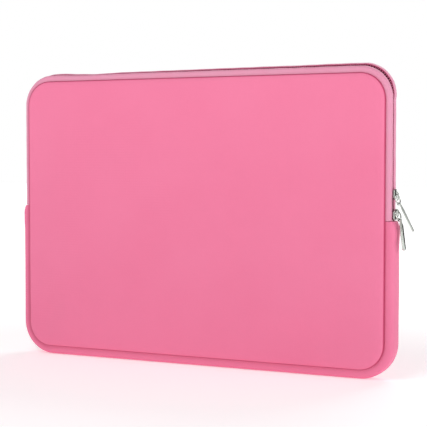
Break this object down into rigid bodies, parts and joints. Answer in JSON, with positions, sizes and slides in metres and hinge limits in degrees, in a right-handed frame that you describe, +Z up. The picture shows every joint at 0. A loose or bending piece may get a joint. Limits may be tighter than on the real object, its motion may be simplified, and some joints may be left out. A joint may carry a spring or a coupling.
{
  "type": "laptop sleeve",
  "caption": "Slim padded neoprene laptop sleeve with a bottom gusset, a two-way zip round the top and flat metal zip pulls.",
  "frame": {"origin": "middle of the bottom gusset's flat underside, on the surface the sleeve stands on", "axes": "+X along the sleeve's width to the side with the zip sliders, +Y from the front panel to the back panel, +Z up"},
  "size_m": [0.4161, 0.0276, 0.2893],
  "materials": {
    "neoprene_jersey": "fine matt knit over foam rubber",
    "plush_lining": "short brushed pile",
    "zip_tape": "woven polyester with a slight sheen",
    "zip_coil": "dyed nylon filament",
    "seam_binding": "ribbed nylon tape",
    "nickel_plate": "bright nickel plate on zinc alloy"
  },
  "bodies": {
    "sleeve": {"front_panel_lower": "neoprene_jersey", "front_lining_lower": "plush_lining", "front_binding_lower": "seam_binding", "back_panel": "neoprene_jersey", "back_lining": "plush_lining", "back_binding": "seam_binding", "bottom_gusset": "neoprene_jersey", "zip_tape_back": "zip_tape", "zip_coil_back": "zip_coil", "zip_tape_front_lower_right": "zip_tape", "zip_tape_front_lower_left": "zip_tape", "zip_coil_front_lower_right": "zip_coil", "zip_coil_front_lower_left": "zip_coil"},
    "front_flap": {"front_panel_upper": "neoprene_jersey", "front_lining_upper": "plush_lining", "front_binding_upper": "seam_binding", "zip_tape_front_upper": "zip_tape", "zip_coil_front_upper": "zip_coil"},
    "lower_slider": {"slider_lower": "nickel_plate", "crown_lower": "nickel_plate"},
    "upper_slider": {"slider_upper": "nickel_plate", "crown_upper": "nickel_plate"},
    "lower_ring": {"ring_lower": "nickel_plate"},
    "upper_ring": {"ring_upper": "nickel_plate"},
    "lower_pull": {"pull_lower": "nickel_plate"},
    "upper_pull": {"pull_upper": "nickel_plate"}
  },
  "joints": [
    {"name": "mouth_fold", "type": "hinge", "parent": "sleeve", "child": "front_flap", "pos_m": [0, -0.014, 0.18], "axis": [1, 0, 0], "range_deg": [0, 70], "stiffness_Nm_per_rad": 0.25},
    {"name": "lower_slide", "type": "slide", "parent": "sleeve", "child": "lower_slider", "axis": [0, 0, -1], "range_m": [-0.015, 0]},
    {"name": "upper_slide", "type": "slide", "parent": "lower_slider", "child": "upper_slider", "axis": [0, 0, -1], "range_m": [-0.062, 0]},
    {"name": "lower_ring_swing", "type": "hinge", "parent": "lower_slider", "child": "lower_ring", "pos_m": [0.19925, 0, 0.1557], "axis": [-0.2079, -0.9781, 0], "range_deg": [0, 16]},
    {"name": "lower_pull_swing", "type": "hinge", "parent": "lower_ring", "child": "lower_pull", "pos_m": [0.20219, -0.00063, 0.14743], "axis": [-0.2079, -0.9781, 0], "range_deg": [-5, 20]},
    {"name": "upper_ring_swing", "type": "hinge", "parent": "upper_slider", "child": "upper_ring", "pos_m": [0.19925, 0, 0.1704], "axis": [-0.1736, -0.9848, 0], "range_deg": [0, 70]},
    {"name": "upper_pull_swing", "type": "hinge", "parent": "upper_ring", "child": "upper_pull", "pos_m": [0.20135, -0.00037, 0.16186], "axis": [0.0872, -0.9962, 0], "range_deg": [-12, 70]}
  ]
}
